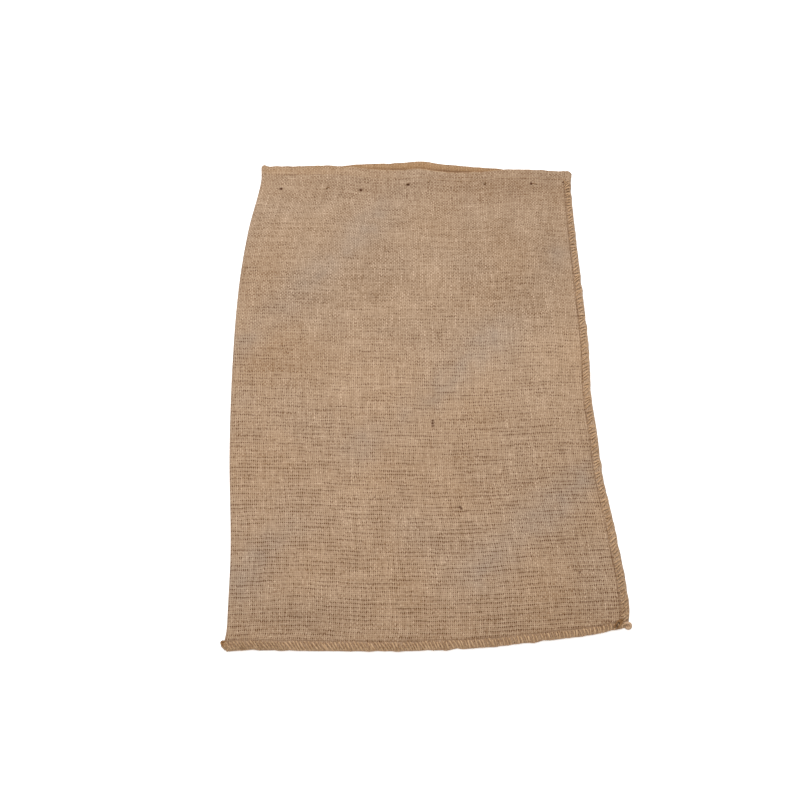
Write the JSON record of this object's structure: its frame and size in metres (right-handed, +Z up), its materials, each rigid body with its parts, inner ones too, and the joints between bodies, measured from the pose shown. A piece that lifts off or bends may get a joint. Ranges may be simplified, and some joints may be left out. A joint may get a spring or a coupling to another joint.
{
  "type": "jute sack",
  "caption": "Empty woven jute sack lying flat, folded on one side, hemmed at its slightly open mouth and overcast along its other side and bottom.",
  "frame": {"origin": "middle of the sack's footprint, on the surface that it lies on", "axes": "+Y from the sewn bottom to the mouth, +X from the folded side to the sewn side, +Z up through the two layers"},
  "size_m": [0.5226, 0.7294, 0.0162],
  "materials": {
    "jute_hessian": "plain woven natural jute, matt and fibrous",
    "jute_sewing_twine": "twisted natural jute twine, slightly golden"
  },
  "bodies": {
    "root": {"sack_cloth": "jute_hessian", "twine_knot_left": "jute_sewing_twine", "twine_curl_right": "jute_sewing_twine"}
  },
  "joints": []
}
